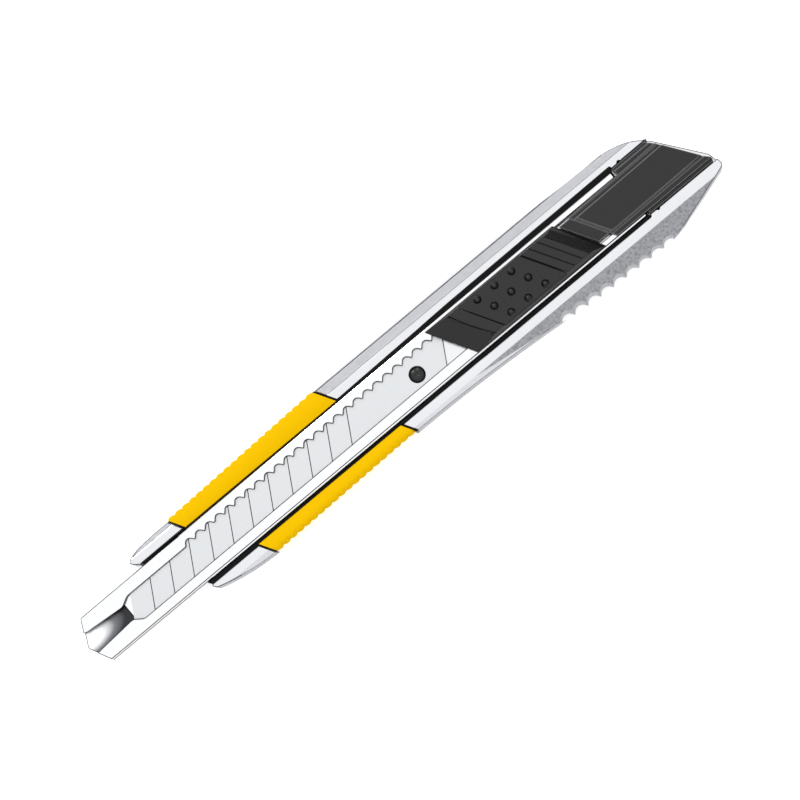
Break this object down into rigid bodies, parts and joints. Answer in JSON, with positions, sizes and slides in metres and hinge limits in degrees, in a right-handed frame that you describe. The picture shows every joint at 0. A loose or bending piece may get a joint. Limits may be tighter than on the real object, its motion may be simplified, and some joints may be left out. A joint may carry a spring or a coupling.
{
  "type": "snap-off utility knife",
  "caption": "Slim snap-off knife: metal handle with soft side grips, folded steel blade channel, scored blade on a thumb slider with automatic lock, and a pull-off end cap.",
  "frame": {"origin": "on the flat back of the handle, under the middle line of the blade channel, midway along the whole knife", "axes": "+X from the blade end to the cap end, +Y towards the spine of the blade (the side with the lock notches), +Z out of the face that carries the thumb slider"},
  "size_m": [0.1554, 0.0225, 0.0109],
  "materials": {
    "cast_zinc": "polished rims, satin outer facets",
    "stainless_sheet": "bright rolled stainless",
    "blade_steel": "fine ground steel",
    "spring_steel": "plain rolled steel",
    "soft_yellow": "satin moulded elastomer",
    "black_abs": "fine moulded satin"
  },
  "bodies": {
    "handle": {"handle_casting": "cast_zinc", "channel_liner": "black_abs", "upper_grip": "soft_yellow", "lower_grip": "soft_yellow", "blade_channel": "stainless_sheet", "front_rivet": "spring_steel", "rear_rivet": "spring_steel"},
    "slider": {"thumb_slider": "black_abs", "slide_plate": "spring_steel", "blade_post": "black_abs", "blade": "blade_steel"},
    "lock": {"lock_spring": "spring_steel"},
    "cap": {"end_cap": "black_abs"}
  },
  "joints": [
    {"name": "slider_travel", "type": "slide", "parent": "handle", "child": "slider", "axis": [-1, 0, 0], "range_m": [0, 0.06]},
    {"name": "lock_click", "type": "slide", "parent": "slider", "child": "lock", "axis": [0, -1, 0], "range_m": [0, 0.0009], "stiffness_N_per_m": 300},
    {"name": "cap_pull", "type": "slide", "parent": "handle", "child": "cap", "axis": [1, 0, 0], "range_m": [0, 0.036]}
  ]
}
